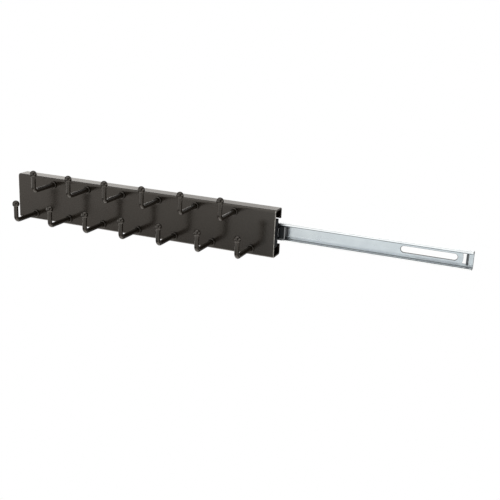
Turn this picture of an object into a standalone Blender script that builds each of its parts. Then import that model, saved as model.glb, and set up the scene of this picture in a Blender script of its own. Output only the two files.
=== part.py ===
"""Pull-out tie rack: ball-tipped hooks on a lipped steel panel that runs on a ball slide.

Metres, +Z up. X runs along the rack, the panel faces -Y and the wall stands at +Y. The origin is on the rear
face of the wall rail, at the rail's centre. The rack is drawn fully out, and slides shut along +X.
"""

import math

import bmesh
import bpy
from mathutils import Matrix, Vector

# Air between pieces that seat on each other or run against each other
SEAT_GAP = 0.0003

# Panel: one sheet bent to a channel with its rear edges turned in as lips
PANEL_LENGTH = 0.355
PANEL_HEIGHT = 0.057
PANEL_DEPTH = 0.0205
PANEL_WALL = 0.002
PANEL_LIP = 0.013
PANEL_BEND = 0.0018

# Hooks: two rows, the upper one with a hook less and set a little over half a pitch after the lower one
LOWER_HOOKS = 7
OUTER_HOOK_MARGIN = 0.026
INNER_HOOK_MARGIN = 0.029
UPPER_ROW_LEAD = 0.0275
LOWER_ROW_INSET = 0.008
UPPER_ROW_INSET = 0.008
ROD_DIAMETER = 0.0056
ROD_BEND = 0.0055
ARM_REACH = 0.041
UPRIGHT_HEIGHT = 0.021
ROD_IN_TIP = 0.0015
TIP_WALL = 0.0016
COLLAR_WALL = 0.0019
COLLAR_THICKNESS = 0.0022
COLLAR_CHAMFER = 0.0006

# Hook ends: a shank through the panel, peened to a head behind it
SHANK_DIAMETER = 0.004
PEENED_DIAMETER = 0.0058
PEENED_THICKNESS = 0.0014

# Studs welded to the back of the panel, and the nuts that clamp the rack rail on them
STUD_DIAMETER = 0.004
STUD_PROUD = 0.001
NUT_ACROSS_FLATS = 0.007
NUT_THICKNESS = 0.0032

# Ball slide: its section is built up from the balls, the sheet and the nuts inside it
RAIL_WALL = 0.0012
RAIL_BEND = 0.0014
BALL_DIAMETER = 0.003
BALLS = 5
BALL_END_MARGIN = 0.0065
NUT_SIDE_CLEARANCE = 0.0007
RETAINER_WALL = 0.0008
RETAINER_BEND = 0.001
RETAINER_FINGER = 0.0009
RETAINER_LENGTH = 0.0752

# Rack rail: the inner member, a hat section behind the panel
RACK_RAIL_LENGTH = 0.305
RACK_RAIL_LIP = 0.001
RACK_RAIL_PROUD = 0.002
RACK_STUD_INSET = 0.030

# Spacer between the panel and the rack rail
SPACER_THICKNESS = 0.0094
SPACER_HOOK_CLEARANCE = 0.0008

# Wall rail: the outer member, a lipped channel with fixing slots and a bent stop tab near each end
WALL_RAIL_LENGTH = 0.305
WALL_RAIL_LIP = 0.0022
SLOT_LENGTH = 0.0625
SLOT_WIDTH = 0.007
SLOT_BRIDGE = 0.0054
TAB_END_INSET = 0.0063
REAR_TAB_WIDTH = 0.0117
REAR_TAB_REACH = 0.0045
FRONT_TAB_WIDTH = 0.006
FRONT_TAB_OVERLAP = 0.0007
FRONT_TAB_CLEARANCE = 0.0005
WINDOW_LENGTH = 0.0046
WINDOW_BULGE = 0.0008

# Bumper plugged into the rear end of the rack rail
BUMPER_HEAD = 0.0077
BUMPER_PLUG = 0.012
BUMPER_SIDE_CLEARANCE = 0.0005
BUMPER_WEB_CLEARANCE = 0.0008
BUMPER_EDGE = 0.0005

# Turns that stand a flat outline up: across X with (y, z) outlines, or across Y with (x, z) outlines
ACROSS_X = (math.pi / 2, 0, math.pi / 2)
ACROSS_Y = (math.pi / 2, 0, 0)

# Facet counts
BEND_STEPS = 4
ROUND_STEPS = 16
BALL_STEPS = 10

# Slide section, as distances from the wall and half heights from the slide's centre line
RACK_RAIL_HALF = NUT_ACROSS_FLATS / 2 + NUT_SIDE_CLEARANCE + RAIL_WALL
RACK_LIP_HALF = RACK_RAIL_HALF + RACK_RAIL_LIP
BALL_HALF = RACK_RAIL_HALF + SEAT_GAP + BALL_DIAMETER / 2
WALL_RAIL_HALF = BALL_HALF + BALL_DIAMETER / 2 + SEAT_GAP + RAIL_WALL
RETAINER_OUT = RAIL_WALL + SEAT_GAP + RETAINER_WALL
FRONT_TAB_OUT = RETAINER_OUT + FRONT_TAB_OVERLAP
RACK_LIP_OUT = FRONT_TAB_OUT + FRONT_TAB_CLEARANCE + RAIL_WALL
BALL_OUT = RACK_LIP_OUT + SEAT_GAP + BALL_DIAMETER / 2
WALL_RAIL_DEPTH = BALL_OUT + BALL_DIAMETER / 2 + SEAT_GAP + RAIL_WALL
RACK_RAIL_OUT = WALL_RAIL_DEPTH + RACK_RAIL_PROUD
RACK_NUT_OUT = RACK_RAIL_OUT - RAIL_WALL - SEAT_GAP
RACK_STUD_END_OUT = RACK_NUT_OUT - NUT_THICKNESS - STUD_PROUD

# Panel and spacer, built outwards from the rack rail
SPACER_REAR = -(RACK_RAIL_OUT + SEAT_GAP)
SPACER_FRONT = SPACER_REAR - SPACER_THICKNESS
PANEL_BACK = SPACER_FRONT - SEAT_GAP
PANEL_FRONT = PANEL_BACK - PANEL_WALL
LOWER_ROW = LOWER_ROW_INSET - PANEL_HEIGHT / 2
UPPER_ROW = PANEL_HEIGHT / 2 - UPPER_ROW_INSET
SPACER_HALF = min(UPPER_ROW, -LOWER_ROW) - PEENED_DIAMETER / 2 - SPACER_HOOK_CLEARANCE

# Stations along the slide: the retainer stands between the front tab and the bumper when the rack is out
TAB_INNER = WALL_RAIL_LENGTH / 2 - TAB_END_INSET - RAIL_WALL
WINDOW_END = TAB_INNER - WINDOW_LENGTH
SLOT_MIDDLE = WINDOW_END - SLOT_BRIDGE - SLOT_LENGTH / 2
RETAINER_START = -TAB_INNER + SEAT_GAP
RACK_END = RETAINER_START + RETAINER_LENGTH
PANEL_MIDDLE = -PANEL_LENGTH / 2
RACK_RAIL_MIDDLE = -RACK_RAIL_LENGTH / 2
HOOK_PITCH = (PANEL_LENGTH - OUTER_HOOK_MARGIN - INNER_HOOK_MARGIN) / (LOWER_HOOKS - 1)
LOWER_HOOK_START = OUTER_HOOK_MARGIN - PANEL_LENGTH
UPPER_HOOK_START = LOWER_HOOK_START + UPPER_ROW_LEAD
BALL_PITCH = (RETAINER_LENGTH - 2 * BALL_END_MARGIN) / (BALLS - 1)
STUD_REACH = RACK_RAIL_LENGTH / 2 - RACK_STUD_INSET
STUD_PLACES = [(RACK_RAIL_MIDDLE + i * STUD_REACH, 0) for i in (-1, 0, 1)]
CLOSING_TRAVEL = TAB_INNER - (RACK_END + SEAT_GAP + BUMPER_HEAD) - SEAT_GAP


def clear_scene():
    for scene_object in list(bpy.data.objects):
        bpy.data.objects.remove(scene_object, do_unlink=True)


def new_collection(name):
    collection = bpy.data.collections.new(name)
    bpy.context.scene.collection.children.link(collection)
    return collection


def new_material(name, colour, roughness, metallic):
    material = bpy.data.materials.new(name)
    material.use_nodes = True
    shader = material.node_tree.nodes["Principled BSDF"]
    shader.inputs["Base Color"].default_value = (*colour, 1.0)
    shader.inputs["Roughness"].default_value = roughness
    shader.inputs["Metallic"].default_value = metallic
    return material


def new_empty(name, location, collection):
    empty = bpy.data.objects.new(name, None)
    empty.location = location
    collection.objects.link(empty)
    return empty


def add_object(name, data, collection, parent, location=(0, 0, 0), rotation=(0, 0, 0)):
    """Links data as a named object, placed in its parent's frame."""
    added = bpy.data.objects.new(name, data)
    added.parent = parent
    added.location = location
    added.rotation_euler = rotation
    collection.objects.link(added)
    return added


def evenly(count, pitch):
    """Places of a centred row."""
    return [(i - (count - 1) / 2) * pitch for i in range(count)]


def circle(centre, diameter, steps=ROUND_STEPS):
    radius = diameter / 2
    turns = [2 * math.pi * i / steps for i in range(steps)]
    return [Vector((centre[0] + radius * math.cos(a), centre[1] + radius * math.sin(a))) for a in turns]


def rectangle(low, high):
    return [Vector(low), Vector((high[0], low[1])), Vector(high), Vector((low[0], high[1]))]


def hexagon(centre, across_flats):
    """Hexagon with two flats level, so its corners point along the first axis."""
    return circle(centre, across_flats / math.cos(math.pi / 6), steps=6)


def slot_outline(centre_x, length, width):
    radius = width / 2
    reach = length / 2 - radius
    half_turn = [math.pi * i / ROUND_STEPS - math.pi / 2 for i in range(ROUND_STEPS + 1)]
    right = [Vector((centre_x + reach + radius * math.cos(a), radius * math.sin(a))) for a in half_turn]
    left = [Vector((2 * centre_x - p.x, -p.y)) for p in right]
    return right + left


def window_outline(side, width):
    """Window left by a stop tab: straight under the tab, bulged on the side towards the rail's middle."""
    half = width / 2
    straight = side * (TAB_INNER + RAIL_WALL / 2)
    far = side * WINDOW_END
    heights = [half - width * i / ROUND_STEPS for i in range(ROUND_STEPS + 1)]
    bulged = [Vector((far + side * WINDOW_BULGE * (1 - (z / half) ** 2), z)) for z in heights]
    return [Vector((straight, -half)), Vector((straight, half))] + bulged


def sheet_outline(path, wall, bend):
    """Closed outline of a sheet bent at right angles: path is its mid line, bend the mid line's radius."""
    half = wall / 2
    left = []
    right = []
    for i, corner in enumerate(path):
        into = (corner - path[i - 1]).normalized() if i else None
        out = (path[i + 1] - corner).normalized() if i + 1 < len(path) else None
        if into is None or out is None:
            run = out or into
            normal = Vector((-run.y, run.x))
            left.append(corner + normal * half)
            right.append(corner - normal * half)
            continue
        turn = into.cross(out)
        towards_centre = Vector((-into.y, into.x)) * turn
        centre = corner - into * bend + towards_centre * bend
        for step in range(BEND_STEPS + 1):
            spoke = Matrix.Rotation(turn * math.pi / 2 * step / BEND_STEPS, 2) @ -towards_centre
            left.append(centre + spoke * (bend - turn * half))
            right.append(centre + spoke * (bend + turn * half))
    return left + right[::-1]


def prism_mesh(name, outlines, thickness):
    """Closed mesh of flat outlines filled and extruded both ways; an outline inside another is a hole."""
    curve = bpy.data.curves.new(name, "CURVE")
    curve.dimensions = "2D"
    curve.fill_mode = "BOTH"
    curve.extrude = thickness / 2
    for outline in outlines:
        spline = curve.splines.new("POLY")
        spline.points.add(len(outline) - 1)
        spline.use_cyclic_u = True
        for point, place in zip(spline.points, outline):
            point.co = (place.x, place.y, 0, 1)
    carrier = bpy.data.objects.new(name, curve)
    bpy.context.scene.collection.objects.link(carrier)
    evaluated = carrier.evaluated_get(bpy.context.evaluated_depsgraph_get())
    mesh = bpy.data.meshes.new_from_object(evaluated)
    mesh.name = name
    bpy.data.objects.remove(carrier)
    bpy.data.curves.remove(curve)
    solid = bmesh.new()
    solid.from_mesh(mesh)
    bmesh.ops.remove_doubles(solid, verts=solid.verts, dist=1e-6)
    bmesh.ops.recalc_face_normals(solid, faces=solid.faces)
    solid.to_mesh(mesh)
    solid.free()
    return mesh


def finish(solid, material):
    """Gives a mesh object its material, with its bends and rounds smooth and its edges sharp."""
    solid.data.materials.append(material)
    solid.data.shade_smooth()
    solid.data.set_sharp_from_angle(angle=math.radians(35))


def boolean(solid, operation, tool):
    modifier = solid.modifiers.new(tool.name, "BOOLEAN")
    modifier.operation = operation
    modifier.solver = "EXACT"
    modifier.object = tool


def add_tool(name, mesh, collection, parent, location=(0, 0, 0), rotation=(0, 0, 0)):
    """Shape that cuts or joins a piece and isn't one itself."""
    tool = add_object(name, mesh, collection, parent, location, rotation)
    tool.hide_render = True
    tool.display_type = "WIRE"
    return tool


def box_mesh(name, low, high):
    """Box between two corners."""
    mesh = bpy.data.meshes.new(name)
    solid = bmesh.new()
    bmesh.ops.create_cube(solid, size=1.0)
    low, high = Vector(low), Vector(high)
    for vertex in solid.verts:
        vertex.co = low + Vector((a * (b + 0.5) for a, b in zip(high - low, vertex.co)))
    solid.to_mesh(mesh)
    solid.free()
    return mesh


def turned_mesh(name, profile):
    """Profile of (radius, height) points, as loose edges for a Screw modifier."""
    mesh = bpy.data.meshes.new(name)
    edges = [(i, i + 1) for i in range(len(profile) - 1)]
    mesh.from_pydata([(radius, 0, height) for radius, height in profile], edges, [])
    return mesh


def add_turned(name, profile, parts, parent, location, rotation=(0, 0, 0)):
    """Object whose profile is turned round its own Z axis."""
    solid = add_object(name, profile, parts, parent, location, rotation)
    screw = solid.modifiers.new("turned", "SCREW")
    screw.steps = ROUND_STEPS
    screw.render_steps = ROUND_STEPS
    screw.use_merge_vertices = True
    screw.merge_threshold = 0.00001
    screw.use_smooth_shade = True


def channel_mesh(name, half_path, wall, bend, length):
    """Sheet bent to a section alike above and below: half_path runs from its upper edge to its web."""
    upper = [Vector(place) for place in half_path]
    lower = [Vector((place.x, -place.y)) for place in reversed(upper)]
    return prism_mesh(name, [sheet_outline(upper + lower, wall, bend)], length)


def panel_mesh():
    front = PANEL_FRONT + PANEL_WALL / 2
    rear = PANEL_FRONT + PANEL_DEPTH - PANEL_WALL / 2
    top = (PANEL_HEIGHT - PANEL_WALL) / 2
    lip_end = PANEL_HEIGHT / 2 - PANEL_LIP
    half_path = [(rear, lip_end), (rear, top), (front, top)]
    return channel_mesh("rack_panel", half_path, PANEL_WALL, PANEL_BEND, PANEL_LENGTH)


def wall_rail_mesh():
    web = -RAIL_WALL / 2
    mouth = -WALL_RAIL_DEPTH + RAIL_WALL / 2
    flange = WALL_RAIL_HALF - RAIL_WALL / 2
    lip_end = WALL_RAIL_HALF - WALL_RAIL_LIP
    half_path = [(mouth, lip_end), (mouth, flange), (web, flange)]
    return channel_mesh("wall_rail", half_path, RAIL_WALL, RAIL_BEND, WALL_RAIL_LENGTH)


def rack_rail_mesh():
    lip = -RACK_LIP_OUT + RAIL_WALL / 2
    web = -RACK_RAIL_OUT + RAIL_WALL / 2
    flange = RACK_RAIL_HALF - RAIL_WALL / 2
    half_path = [(lip, RACK_LIP_HALF), (lip, flange), (web, flange)]
    return channel_mesh("rack_rail", half_path, RAIL_WALL, RAIL_BEND, RACK_RAIL_LENGTH)


def retainer_mesh():
    web = -RETAINER_OUT + RETAINER_WALL / 2
    finger_end = -(BALL_OUT + RETAINER_FINGER)
    flange = RACK_LIP_HALF + SEAT_GAP + RETAINER_WALL / 2
    half_path = [(finger_end, flange), (web, flange)]
    return channel_mesh("ball_retainer", half_path, RETAINER_WALL, RETAINER_BEND, RETAINER_LENGTH)


def hook_curve():
    """Bent bar along its axis: peened head behind the panel, shank, arm, bend, upright into the ball."""
    shoulder = SEAT_GAP / 6
    shank = SHANK_DIAMETER / ROD_DIAMETER
    head = PEENED_DIAMETER / ROD_DIAMETER
    head_seat = PANEL_WALL + SEAT_GAP
    head_edge = head_seat + PEENED_THICKNESS / 2
    stations = [(head_seat + PEENED_THICKNESS, shank), (head_edge, head), (head_seat + shoulder, head)]
    stations += [(head_seat, shank), (-SEAT_GAP, shank), (-SEAT_GAP - shoulder, 1)]
    points = [((0, y, 0), radius) for y, radius in stations]
    bend_y = ROD_BEND - ARM_REACH
    steps = 2 * BEND_STEPS - 2
    for i in range(steps + 1):
        angle = math.pi / 2 * i / steps
        y = bend_y - ROD_BEND * math.sin(angle)
        z = ROD_BEND - ROD_BEND * math.cos(angle)
        points.append(((0, y, z), 1))
    points.append(((0, -ARM_REACH, UPRIGHT_HEIGHT + ROD_IN_TIP), 1))
    curve = bpy.data.curves.new("hook", "CURVE")
    curve.dimensions = "3D"
    curve.bevel_depth = ROD_DIAMETER / 2
    curve.bevel_resolution = 3
    curve.use_fill_caps = True
    spline = curve.splines.new("POLY")
    spline.points.add(len(points) - 1)
    for point, (place, radius) in zip(spline.points, points):
        point.co = (*place, 1)
        point.radius = radius
    return curve


def tip_mesh():
    """Ball round the rod's end, open below, with the socket that the rod is pressed into."""
    radius = ROD_DIAMETER / 2 + TIP_WALL
    bore = ROD_DIAMETER / 2 + SEAT_GAP
    socket_top = ROD_IN_TIP + SEAT_GAP
    last = math.pi - math.asin(bore / radius)
    steps = ROUND_STEPS // 2
    angles = [last * i / steps for i in range(steps + 1)]
    outside = [(radius * math.sin(a), radius * math.cos(a)) for a in angles]
    return turned_mesh("hook_tip", outside + [(bore, socket_top), (0, socket_top)])


def collar_mesh():
    outer = ROD_DIAMETER / 2 + COLLAR_WALL
    bore = ROD_DIAMETER / 2 + SEAT_GAP
    front = COLLAR_THICKNESS
    profile = [(bore, front), (outer - COLLAR_CHAMFER, front), (outer, front - COLLAR_CHAMFER), (outer, 0)]
    return turned_mesh("hook_collar", profile + [(bore, 0), (bore, front)])


def nut_mesh():
    hole = STUD_DIAMETER + 2 * SEAT_GAP
    outlines = [hexagon((0, 0), NUT_ACROSS_FLATS), circle((0, 0), hole, BALL_STEPS)]
    return prism_mesh("rail_nut", outlines, NUT_THICKNESS)


def ball_mesh():
    mesh = bpy.data.meshes.new("ball")
    ball = bmesh.new()
    bmesh.ops.create_uvsphere(ball, u_segments=BALL_STEPS, v_segments=BALL_STEPS // 2 + 1,
                              radius=BALL_DIAMETER / 2)
    ball.to_mesh(mesh)
    ball.free()
    return mesh


def add_hook_row(row, height, places, rack, parts, bronze):
    """One row of hooks with their balls and collars."""
    hook, tip, collar = hook_curve(), tip_mesh(), collar_mesh()
    for piece in (hook, tip, collar):
        piece.materials.append(bronze)
    for number, x in enumerate(places, start=1):
        add_object(f"hook_{row}_{number}", hook, parts, rack, (x, PANEL_FRONT, height))
        ball_place = (x, PANEL_FRONT - ARM_REACH, height + UPRIGHT_HEIGHT)
        add_turned(f"hook_tip_{row}_{number}", tip, parts, rack, ball_place)
        collar_place = (x, PANEL_FRONT - SEAT_GAP, height)
        add_turned(f"hook_collar_{row}_{number}", collar, parts, rack, collar_place, ACROSS_Y)


def add_panel(rack, places, parts, cutters, bronze):
    """Bent panel with a hole for each hook's shank, and the studs that are welded to its back."""
    panel = add_object("rack_panel", panel_mesh(), parts, rack, (PANEL_MIDDLE, 0, 0), ACROSS_X)
    hole = SHANK_DIAMETER + 2 * SEAT_GAP
    holes = prism_mesh("hook_holes", [circle(place, hole, BALL_STEPS) for place in places], 3 * PANEL_WALL)
    plate_middle = PANEL_FRONT + PANEL_WALL / 2
    holes_tool = add_tool("hook_holes", holes, cutters, rack, (0, plate_middle, 0), ACROSS_Y)
    boolean(panel, "DIFFERENCE", holes_tool)
    stud_length = -RACK_STUD_END_OUT - plate_middle
    outlines = [circle(place, STUD_DIAMETER, BALL_STEPS) for place in STUD_PLACES]
    studs = prism_mesh("weld_studs", outlines, stud_length)
    stud_middle = plate_middle + stud_length / 2
    boolean(panel, "UNION", add_tool("weld_studs", studs, cutters, rack, (0, stud_middle, 0), ACROSS_Y))
    finish(panel, bronze)


def add_rack_rail(rack, parts, cutters, zinc, black):
    """Inner member of the slide, its spacer, and the nuts that hold both on the panel's studs."""
    hole = STUD_DIAMETER + 2 * SEAT_GAP
    hole_outlines = [circle(place, hole, BALL_STEPS) for place in STUD_PLACES]

    rail = add_object("rack_rail", rack_rail_mesh(), parts, rack, (RACK_RAIL_MIDDLE, 0, 0), ACROSS_X)
    holes = prism_mesh("rack_rail_holes", hole_outlines, 3 * RAIL_WALL)
    web_middle = -RACK_RAIL_OUT + RAIL_WALL / 2
    holes_tool = add_tool("rack_rail_holes", holes, cutters, rack, (0, web_middle, 0), ACROSS_Y)
    boolean(rail, "DIFFERENCE", holes_tool)
    finish(rail, zinc)

    sides = rectangle((-RACK_RAIL_LENGTH, -SPACER_HALF), (0, SPACER_HALF))
    spacer = prism_mesh("rail_spacer", [sides] + hole_outlines, SPACER_THICKNESS)
    spacer_middle = (SPACER_FRONT + SPACER_REAR) / 2
    finish(add_object("rail_spacer", spacer, parts, rack, (0, spacer_middle, 0), ACROSS_Y), black)

    nut = nut_mesh()
    nut.materials.append(zinc)
    nut_middle = -RACK_NUT_OUT + NUT_THICKNESS / 2
    for number, (x, z) in enumerate(STUD_PLACES, start=1):
        add_object(f"rail_nut_{number}", nut, parts, rack, (x, nut_middle, z), ACROSS_Y)


def add_bumper(rack, parts, cutters, black):
    """Plastic block plugged into the rack rail's rear end: it stops the rack at both ends of its travel."""
    half = WALL_RAIL_HALF - WALL_RAIL_LIP - BUMPER_SIDE_CLEARANCE
    plug_half = RACK_RAIL_HALF - RAIL_WALL - SEAT_GAP
    head_rear = -(RAIL_WALL + BUMPER_WEB_CLEARANCE)
    head_low = (SEAT_GAP, -RACK_RAIL_OUT, -half)
    head_high = (SEAT_GAP + BUMPER_HEAD, head_rear, half)
    bumper = add_object("rail_bumper", box_mesh("rail_bumper", head_low, head_high), parts, rack)
    plug_rear = -(RACK_LIP_OUT - RAIL_WALL)
    plug_low = (-BUMPER_PLUG, -RACK_NUT_OUT, -plug_half)
    plug_high = (SEAT_GAP + BUMPER_HEAD / 2, plug_rear, plug_half)
    plug = box_mesh("bumper_plug", plug_low, plug_high)
    boolean(bumper, "UNION", add_tool("bumper_plug", plug, cutters, rack))
    edge = bumper.modifiers.new("soft_edges", "BEVEL")
    edge.width = BUMPER_EDGE
    edge.segments = 2
    edge.limit_method = "ANGLE"
    finish(bumper, black)


def add_cage(cage, parts, cutters, black, steel):
    """Ball retainer with a notch for each ball, and the two rows of balls."""
    retainer = add_object("ball_retainer", retainer_mesh(), parts, cage, (0, 0, 0), ACROSS_X)
    pocket = BALL_DIAMETER + 2 * SEAT_GAP
    outlines = [circle((x, -BALL_OUT), pocket) for x in evenly(BALLS, BALL_PITCH)]
    pockets = prism_mesh("ball_pockets", outlines, 2 * WALL_RAIL_HALF)
    boolean(retainer, "DIFFERENCE", add_tool("ball_pockets", pockets, cutters, cage))
    finish(retainer, black)
    ball = ball_mesh()
    ball.shade_smooth()
    ball.materials.append(steel)
    for row, height in (("upper", BALL_HALF), ("lower", -BALL_HALF)):
        for number, x in enumerate(evenly(BALLS, BALL_PITCH), start=1):
            add_object(f"ball_{row}_{number}", ball, parts, cage, (x, -BALL_OUT, height))


def add_wall_rail(parts, cutters, zinc):
    """Outer member: channel with two fixing slots, and a stop tab bent out of a window near each end."""
    rail = add_object("wall_rail", wall_rail_mesh(), parts, None, (0, 0, 0), ACROSS_X)
    outlines = [slot_outline(side * SLOT_MIDDLE, SLOT_LENGTH, SLOT_WIDTH) for side in (-1, 1)]
    outlines.append(window_outline(1, REAR_TAB_WIDTH))
    outlines.append(window_outline(-1, FRONT_TAB_WIDTH))
    openings = prism_mesh("web_openings", outlines, WALL_RAIL_DEPTH)
    boolean(rail, "DIFFERENCE", add_tool("web_openings", openings, cutters, None, (0, 0, 0), ACROSS_Y))
    rear_tab_out = RAIL_WALL + REAR_TAB_REACH
    tabs = (("rear_tab", 1, REAR_TAB_WIDTH, rear_tab_out), ("front_tab", -1, FRONT_TAB_WIDTH, FRONT_TAB_OUT))
    for name, side, width, out in tabs:
        low_x, high_x = sorted((side * TAB_INNER, side * (TAB_INNER + RAIL_WALL)))
        tab = box_mesh(name, (low_x, -out, -width / 2), (high_x, -RAIL_WALL / 2, width / 2))
        boolean(rail, "UNION", add_tool(name, tab, cutters, None))
    finish(rail, zinc)


def main():
    clear_scene()
    parts = new_collection("tie_rack")
    cutters = new_collection("cutters")
    bronze = new_material("dark_bronze_paint", (0.055, 0.047, 0.040), 0.42, 0.3)
    zinc = new_material("bright_zinc_plate", (0.66, 0.69, 0.72), 0.28, 1.0)
    steel = new_material("ball_steel", (0.60, 0.60, 0.61), 0.12, 1.0)
    black = new_material("black_plastic", (0.012, 0.013, 0.014), 0.45, 0.0)

    rack = new_empty("rack_carriage", (RACK_END, 0, 0), parts)
    cage = new_empty("ball_cage", (RETAINER_START + RETAINER_LENGTH / 2, 0, 0), parts)
    lower = [LOWER_HOOK_START + i * HOOK_PITCH for i in range(LOWER_HOOKS)]
    upper = [UPPER_HOOK_START + i * HOOK_PITCH for i in range(LOWER_HOOKS - 1)]
    hole_places = [(x, LOWER_ROW) for x in lower] + [(x, UPPER_ROW) for x in upper]

    add_wall_rail(parts, cutters, zinc)
    add_cage(cage, parts, cutters, black, steel)
    add_rack_rail(rack, parts, cutters, zinc, black)
    add_bumper(rack, parts, cutters, black)
    add_panel(rack, hole_places, parts, cutters, bronze)
    add_hook_row("lower", LOWER_ROW, lower, rack, parts, bronze)
    add_hook_row("upper", UPPER_ROW, upper, rack, parts, bronze)
    print(f"closing travel {CLOSING_TRAVEL * 1000:.2f} mm, panel front at y {PANEL_FRONT * 1000:.2f} mm")


main()
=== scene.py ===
# %% [markdown]
# # A pull-out tie rack
# A dark bronze panel carries two rows of hooks and runs on a ball slide. The slide's bright zinc
# rail is what is screwed to the wall. The plain solids of the rack come in first, as a frame in
# metres. Each fine piece made below stands for one of those solids, so it goes where the solid is
# and moves with the same body.

import bmesh
import bpy
import numpy as np
from mathutils import Matrix, Vector


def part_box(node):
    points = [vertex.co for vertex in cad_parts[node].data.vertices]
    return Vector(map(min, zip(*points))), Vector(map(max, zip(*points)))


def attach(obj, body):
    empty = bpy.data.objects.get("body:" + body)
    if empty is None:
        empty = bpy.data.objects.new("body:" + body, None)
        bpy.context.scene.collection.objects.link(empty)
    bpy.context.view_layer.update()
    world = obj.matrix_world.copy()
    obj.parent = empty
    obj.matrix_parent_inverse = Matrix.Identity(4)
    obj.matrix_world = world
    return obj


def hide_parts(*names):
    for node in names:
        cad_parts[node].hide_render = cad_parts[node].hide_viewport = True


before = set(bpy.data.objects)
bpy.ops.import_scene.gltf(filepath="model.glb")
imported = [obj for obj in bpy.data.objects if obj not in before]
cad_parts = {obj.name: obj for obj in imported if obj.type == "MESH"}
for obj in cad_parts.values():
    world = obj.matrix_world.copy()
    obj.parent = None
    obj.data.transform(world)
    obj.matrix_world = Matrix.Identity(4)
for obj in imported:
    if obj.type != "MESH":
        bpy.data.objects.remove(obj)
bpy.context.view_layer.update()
MM = 0.001


# %% [markdown]
# ## From arrays to pieces
# Every piece here is a surface worked out as whole arrays of points. Ready-made cubes and
# cylinders could be pushed together instead, but a formula gives the bends and the round edges
# exactly. A grid of points becomes quads by counting: the point in row r and column c has the
# number r * columns + c. One helper turns such arrays into a mesh, merges the points that fall
# together at poles and seams, and turns the faces outwards. An edge softener then rounds the
# sharp corners a little, because no bent or moulded edge is perfectly sharp, and a round edge is
# what catches the light.

# %% Grid and piece helpers
MERGE_GAP = 1e-6
SHARP_ANGLE = 40


def grid_quads(rows, columns, around=False):
    """Corner numbers of a grid's quads; around joins the last column to the first."""
    r = np.arange(rows - 1)[:, None]
    c = np.arange(columns if around else columns - 1)[None, :]
    after = (c + 1) % columns
    corners = [r * columns + c, r * columns + after,
               (r + 1) * columns + after, (r + 1) * columns + c]
    return np.stack(corners, axis=-1).reshape(-1, 4)


def mesh_from(name, points, faces):
    """Closed mesh from an (n, 3) array and a list of corner numbers, merged, its faces outwards."""
    mesh = bpy.data.meshes.new(name)
    mesh.from_pydata(points.tolist(), [], faces)
    work = bmesh.new()
    work.from_mesh(mesh)
    bmesh.ops.remove_doubles(work, verts=work.verts, dist=MERGE_GAP)
    bmesh.ops.recalc_face_normals(work, faces=work.faces)
    work.to_mesh(mesh)
    work.free()
    return mesh


def soften(piece, width, segments, edge_finish):
    """Rounds the edges that are sharper than SHARP_ANGLE, and keeps the flats flat in shading.
    The rounded edges get the finish of that number, or with -1 that of the faces beside them."""
    if width:
        bevel = piece.modifiers.new("soft_edges", "BEVEL")
        bevel.width = width
        bevel.segments = segments
        bevel.material = edge_finish
        bevel.limit_method = "ANGLE"
        bevel.angle_limit = np.radians(SHARP_ANGLE)
    flats = piece.modifiers.new("flat_faces", "WEIGHTED_NORMAL")
    flats.keep_sharp = True


def add_piece(mesh, finish, body, nodes=(), edge=0.0, segments=2, worn=None):
    """Links a mesh as a piece of the same name, with its finish, the body that carries it and the
    solids that it stands for. Edge is the width of its rounded edges, and worn their own finish."""
    piece = bpy.data.objects.new(mesh.name, mesh)
    bpy.context.scene.collection.objects.link(piece)
    if not mesh.materials:
        mesh.materials.append(finish)
    if worn and worn.name not in mesh.materials:
        mesh.materials.append(worn)
    mesh.shade_smooth()
    soften(piece, edge, segments, mesh.materials.find(worn.name) if worn else -1)
    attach(piece, body)
    if nodes:
        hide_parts(*nodes)


print("a grid of 3 by 4 points has", len(grid_quads(3, 4)), "quads")


# %% [markdown]
# ## Shader nodes
# A finish is a small tree of shader nodes. It could be laid out by hand in the shader editor, but
# a function for each kind of node keeps every finish down to a few lines. All patterns read Object
# coordinates, which here are metres in the rack's own frame, so they lie still on the piece from
# every side and need no picture and no unwrapping.

# %% Shader helpers
def node_of(tree, kind, **values):
    """Adds a shader node and sets its plain properties."""
    added = tree.nodes.new(kind)
    for key, value in values.items():
        setattr(added, key, value)
    return added


def noise_of(tree, scale, detail=2.0, stretch=(1.0, 1.0, 1.0)):
    """Noise in object space, scale in lumps per metre, stretched along the axes by a Mapping."""
    place = node_of(tree, "ShaderNodeTexCoord")
    mapping = node_of(tree, "ShaderNodeMapping")
    mapping.inputs["Scale"].default_value = stretch
    noise = node_of(tree, "ShaderNodeTexNoise")
    noise.inputs["Scale"].default_value = scale
    noise.inputs["Detail"].default_value = detail
    tree.links.new(place.outputs["Object"], mapping.inputs["Vector"])
    tree.links.new(mapping.outputs["Vector"], noise.inputs["Vector"])
    return noise.outputs["Fac"]


def axes_of(tree):
    """The x, y and z of the point that is shaded, in object space."""
    place = node_of(tree, "ShaderNodeTexCoord")
    axes = node_of(tree, "ShaderNodeSeparateXYZ")
    tree.links.new(place.outputs["Object"], axes.inputs["Vector"])
    return [axes.outputs[key] for key in "XYZ"]


def math_of(tree, operation, *values):
    """One sum on the values: MULTIPLY gives their product, MAXIMUM the larger of two masks."""
    reckoned = node_of(tree, "ShaderNodeMath", operation=operation)
    for socket, value in zip(reckoned.inputs, values):
        tree.links.new(value, socket)
    return reckoned.outputs[0]


def ramp_of(tree, factor, low, high, start=0.35, end=0.65):
    """Colour that runs from low to high as the factor runs from start to end."""
    ramp = node_of(tree, "ShaderNodeValToRGB")
    for stop, place, colour in zip(ramp.color_ramp.elements, (start, end), (low, high)):
        stop.position = place
        stop.color = (*colour, 1.0)
    tree.links.new(factor, ramp.inputs["Fac"])
    return ramp.outputs["Color"]


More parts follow.
